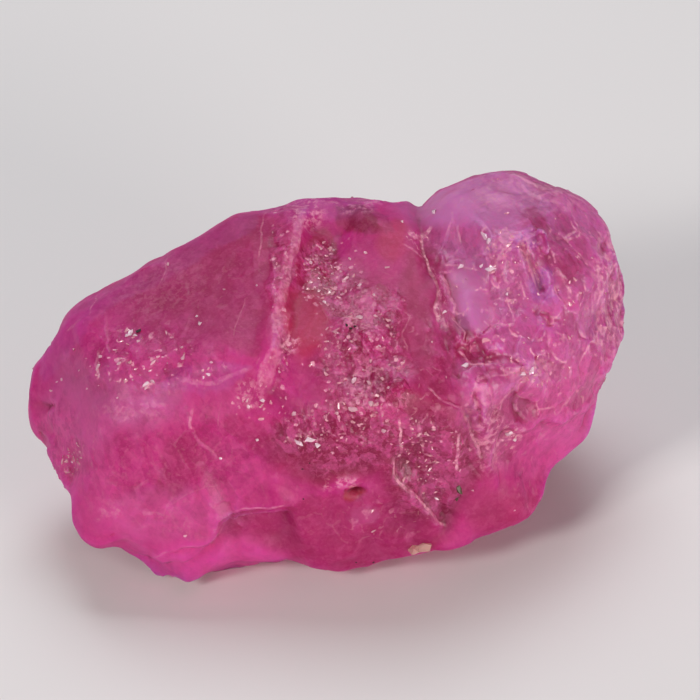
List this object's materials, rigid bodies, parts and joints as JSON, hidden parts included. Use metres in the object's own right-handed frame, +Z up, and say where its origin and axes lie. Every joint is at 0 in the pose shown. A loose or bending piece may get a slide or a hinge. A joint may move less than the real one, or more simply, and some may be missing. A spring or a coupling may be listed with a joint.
{
  "type": "raw ruby crystal",
  "caption": "Small rough ruby: a long translucent crystal with a round crystal grown on its end, broken, stepped and pitted, lying on a flat face.",
  "frame": {"origin": "centre of the bounding box's bottom, on the surface that the crystal rests on", "axes": "+X along the crystal, towards the round crystal at its end; +Z up; the broad, stepped face looks towards -X, -Y and +Z"},
  "size_m": [0.0138, 0.0082, 0.0074],
  "materials": {
    "ruby": "satin"
  },
  "bodies": {
    "root": {"ruby_crystal": "ruby"}
  },
  "joints": []
}
